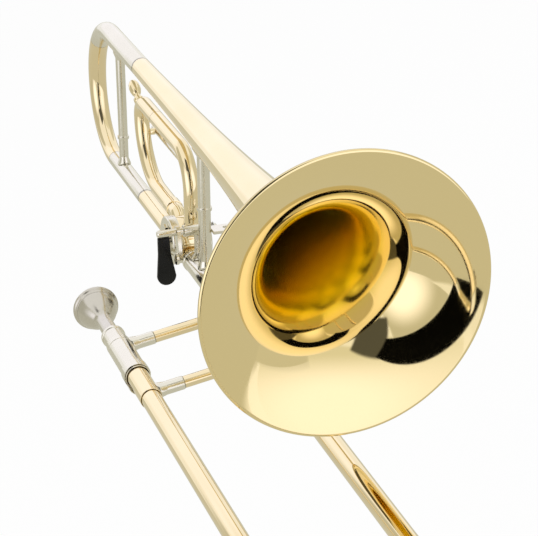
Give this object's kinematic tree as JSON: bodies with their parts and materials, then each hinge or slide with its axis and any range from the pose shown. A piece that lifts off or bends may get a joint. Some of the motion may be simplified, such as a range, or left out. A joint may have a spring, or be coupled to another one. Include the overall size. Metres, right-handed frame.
{
  "type": "alto trombone",
  "caption": "Small slide trombone with a thumb-lever rotary valve, a brass bell and bows, nickel silver sleeves and braces, and a silver cup mouthpiece.",
  "frame": {"origin": "middle of the inner slide's hand brace, between the two slide tubes", "axes": "+X along the slide towards the bell's mouth and the slide bow, +Y from the mouthpiece side to the lower tube, +Z from the slide up to the bell"},
  "size_m": [0.9629, 0.2102, 0.217],
  "materials": {
    "lacquered_brass": "polished and clear lacquered",
    "nickel_silver": "polished nickel silver",
    "silver_plate": "polished silver plate",
    "chromed_tube": "polished chrome",
    "spring_steel": "drawn wire",
    "black_plastic": "smooth, slightly worn",
    "black_rubber": "matt",
    "pad_cork": "fine cork"
  },
  "bodies": {
    "inner_slide": {"mouthpiece_receiver": "nickel_silver", "upper_cork_barrel": "nickel_silver", "lower_cork_barrel": "nickel_silver", "slide_tenon": "nickel_silver", "upper_inner_tube": "chromed_tube", "lower_inner_tube": "chromed_tube", "inner_brace_socket_left": "nickel_silver", "inner_brace_socket_right": "nickel_silver", "inner_brace_tube": "lacquered_brass"},
    "outer_slide": {"upper_outer_tube": "lacquered_brass", "lower_outer_tube": "lacquered_brass", "upper_outer_sleeve": "lacquered_brass", "lower_outer_sleeve": "lacquered_brass", "outer_brace_socket_left": "nickel_silver", "outer_brace_socket_right": "nickel_silver", "outer_brace_tube": "lacquered_brass", "slide_bow": "lacquered_brass", "bow_ferrule_upper": "nickel_silver", "bow_ferrule_lower": "nickel_silver", "slide_bumper": "black_rubber", "water_key_saddle": "nickel_silver", "water_key_spring": "spring_steel"},
    "water_key": {"water_key_lever": "nickel_silver", "water_key_pad": "pad_cork"},
    "mouthpiece": {"mouthpiece": "silver_plate"},
    "slide_lock": {"slide_lock_ring": "nickel_silver"},
    "lock_nut": {"bell_lock_nut": "nickel_silver"},
    "bell_section": {"bell": "lacquered_brass", "neckpipe": "lacquered_brass", "gooseneck": "lacquered_brass", "bell_receiver": "nickel_silver", "bell_brace": "nickel_silver", "brace_plate": "nickel_silver", "valve_casing": "lacquered_brass", "rotor_bearing_plate": "lacquered_brass", "valve_cap": "nickel_silver", "stop_plate": "nickel_silver", "stop_bumper_rest": "black_rubber", "stop_bumper_pressed": "black_rubber", "front_loop_tube": "lacquered_brass", "rear_loop_knuckle": "lacquered_brass", "lever_bracket": "nickel_silver", "lever_spring": "spring_steel"},
    "tuning_slide": {"tuning_sleeve_upper": "nickel_silver", "tuning_sleeve_lower": "nickel_silver", "tuning_bow": "lacquered_brass", "tuning_inner_leg_upper": "nickel_silver", "tuning_inner_leg_lower": "nickel_silver", "tuning_brace": "nickel_silver"},
    "valve_slide": {"loop_bow": "lacquered_brass", "loop_inner_leg_upper": "nickel_silver", "loop_inner_leg_lower": "nickel_silver", "loop_pull_knob": "lacquered_brass", "loop_stay": "nickel_silver", "loop_stay_post": "lacquered_brass"},
    "thumb_lever": {"thumb_lever": "nickel_silver", "thumb_paddle": "black_plastic"},
    "rotor": {"rotor": "lacquered_brass", "stop_arm": "nickel_silver"},
    "link": {"link_rod": "nickel_silver"}
  },
  "joints": [
    {"name": "hand_slide", "type": "slide", "parent": "inner_slide", "child": "outer_slide", "axis": [1, 0, 0], "range_m": [0, 0.4]},
    {"name": "water_key_pivot", "type": "hinge", "parent": "outer_slide", "child": "water_key", "pos_m": [0.486, 0.042, -0.0142], "axis": [0, 1, 0], "range_deg": [0, 10], "stiffness_Nm_per_rad": 0.05, "springref_deg": -17.19, "deforming": ["water_key_spring"]},
    {"name": "mouthpiece_pull", "type": "slide", "parent": "inner_slide", "child": "mouthpiece", "axis": [-1, 0, 0], "range_m": [0, 0.03]},
    {"name": "slide_lock_turn", "type": "hinge", "parent": "inner_slide", "child": "slide_lock", "pos_m": [0.04, -0.042, 0], "axis": [1, 0, 0], "range_deg": [0, 40]},
    {"name": "lock_nut_turn", "type": "hinge", "parent": "inner_slide", "child": "lock_nut", "pos_m": [-0.012, 0.042, 0], "axis": [1, 0, 0], "continuous": true},
    {"name": "bell_swivel", "type": "hinge", "parent": "inner_slide", "child": "bell_section", "pos_m": [0, 0.042, 0], "axis": [1, 0, 0], "range_deg": [-30, 20]},
    {"name": "tuning_slide_pull", "type": "slide", "parent": "bell_section", "child": "tuning_slide", "axis": [-1, 0, 0], "range_m": [0, 0.045]},
    {"name": "valve_slide_pull", "type": "slide", "parent": "bell_section", "child": "valve_slide", "axis": [-1, 0, 0], "range_m": [0, 0.012]},
    {"name": "rotor_turn", "type": "hinge", "parent": "bell_section", "child": "rotor", "pos_m": [-0.117, 0.04356, 0.00937], "axis": [0, -0.9865, 0.164], "range_deg": [0, 90]},
    {"name": "thumb_lever_press", "type": "hinge", "parent": "bell_section", "child": "thumb_lever", "pos_m": [-0.082, 0.04708, 0.03058], "axis": [0, -0.9865, 0.164], "range_deg": [0, 30], "stiffness_Nm_per_rad": 0.08, "springref_deg": -20.05},
    {"name": "link_pivot", "type": "hinge", "parent": "rotor", "child": "link", "pos_m": [-0.11874, 0.04236, 0.00217], "axis": [0, -0.9865, 0.164], "range_deg": [-90, 0]}
  ],
  "couplings": [
    {"joint": "thumb_lever_press", "follows": "rotor_turn", "ratio": 0.33333},
    {"joint": "link_pivot", "follows": "rotor_turn", "ratio": -1}
  ]
}
